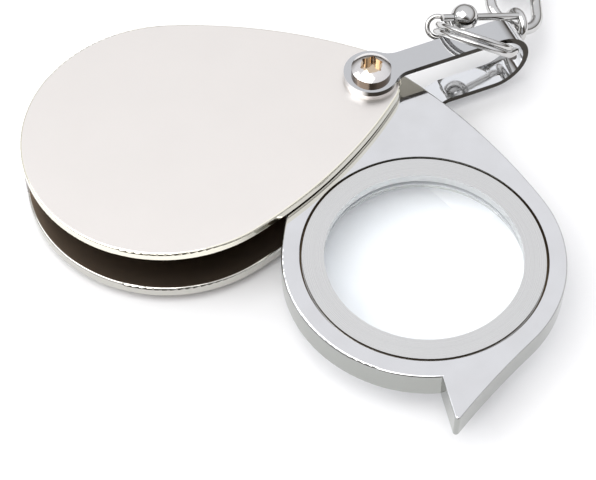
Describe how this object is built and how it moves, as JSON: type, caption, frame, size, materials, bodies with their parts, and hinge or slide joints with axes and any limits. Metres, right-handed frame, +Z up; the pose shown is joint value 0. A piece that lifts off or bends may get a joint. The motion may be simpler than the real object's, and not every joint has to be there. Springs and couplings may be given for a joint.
{
  "type": "folding magnifier",
  "caption": "Folding pocket magnifier: a round lens in a thick frame swings out of a teardrop metal case, with a hanger strap, swivel, chain and key ring.",
  "frame": {"origin": "on the pivot axis, at the flat underside of the pivot nut's head", "axes": "+Z up along the pivot axis, -X along the case towards its round end, +Y towards the walled blind side"},
  "size_m": [0.116, 0.0986, 0.0145],
  "materials": {
    "satin_nickel": "satin nickel plate with polished edges",
    "chrome": "mirror polished chrome plate",
    "brushed_nickel": "satin, turned with fine concentric lines",
    "clear_glass": "polished clear optical glass",
    "brass": "turned",
    "nylon": "natural nylon",
    "plain_steel": "bright zinc",
    "seat_rubber": "black rubber"
  },
  "bodies": {
    "case": {"bottom_cover": "satin_nickel", "top_cover": "satin_nickel", "side_wall": "satin_nickel", "pivot_screw": "chrome", "pivot_nut": "chrome", "pivot_bush": "brass", "upper_friction_washer": "nylon", "lower_friction_washer": "nylon", "spacer_washer": "plain_steel", "cone_spring": "plain_steel", "ear_washer": "plain_steel"},
    "lens_arm": {"lens_frame": "chrome", "lens": "clear_glass", "lens_retaining_ring": "brushed_nickel", "lens_seat_ring": "seat_rubber"},
    "strap": {"hanger_strap": "chrome"},
    "split_ring": {"split_ring": "chrome"},
    "hook_eye": {"swivel_hook_eye": "chrome"},
    "ball": {"swivel_ball": "chrome"},
    "chain_eye": {"swivel_chain_eye": "chrome"},
    "link_1": {"chain_link_1": "chrome"},
    "link_2": {"chain_link_2": "chrome"},
    "link_3": {"chain_link_3": "chrome"},
    "link_4": {"chain_link_4": "chrome"},
    "key_ring": {"key_ring": "chrome"}
  },
  "joints": [
    {"name": "lens_swing", "type": "hinge", "parent": "case", "child": "lens_arm", "pos_m": [0, 0, 0.00688], "axis": [0, 0, 1], "range_deg": [-82.45, 41]},
    {"name": "strap_swing", "type": "hinge", "parent": "case", "child": "strap", "pos_m": [0, 0, 0.00622], "axis": [0, 0, 1], "range_deg": [-40, 88]},
    {"name": "ring_swing", "type": "hinge", "parent": "strap", "child": "split_ring", "pos_m": [0.0146, 0.00077, 0.01145], "axis": [0.9986, 0.0523, 0], "range_deg": [-5, 35]},
    {"name": "hook_swing", "type": "hinge", "parent": "split_ring", "child": "hook_eye", "pos_m": [0.01178, 0.00529, 0.01067], "axis": [0.317, 0.5931, -0.7401], "range_deg": [-30, 7]},
    {"name": "ball_spin", "type": "hinge", "parent": "hook_eye", "child": "ball", "pos_m": [0.01565, 0.00535, 0.0111], "axis": [0.9421, 0.014, -0.335], "continuous": true},
    {"name": "swivel_turn", "type": "hinge", "parent": "hook_eye", "child": "chain_eye", "pos_m": [0.01565, 0.00535, 0.0111], "axis": [0.9421, 0.014, -0.335], "range_deg": [-40, 40]},
    {"name": "link_1_swing", "type": "hinge", "parent": "chain_eye", "child": "link_1", "pos_m": [0.02374, 0.00547, 0.0061], "axis": [0.8713, -0.3171, -0.3746], "range_deg": [-35, 35]},
    {"name": "link_2_swing", "type": "hinge", "parent": "link_1", "child": "link_2", "pos_m": [0.02745, 0.01537, 0.0061], "axis": [0.8713, -0.3171, -0.3746], "range_deg": [-35, 35]},
    {"name": "link_3_swing", "type": "hinge", "parent": "link_2", "child": "link_3", "pos_m": [0.03213, 0.02272, 0.00515], "axis": [0.3244, -0.1873, 0.9272], "range_deg": [-35, 35]},
    {"name": "link_4_swing", "type": "hinge", "parent": "link_3", "child": "link_4", "pos_m": [0.03883, 0.02837, 0.0042], "axis": [0.6677, -0.6915, -0.2756], "range_deg": [-35, 35]},
    {"name": "key_ring_swing", "type": "hinge", "parent": "link_4", "child": "key_ring", "pos_m": [0.04669, 0.03232, 0.00443], "axis": [0.25, -0.433, 0.866], "range_deg": [-30, 30]}
  ]
}
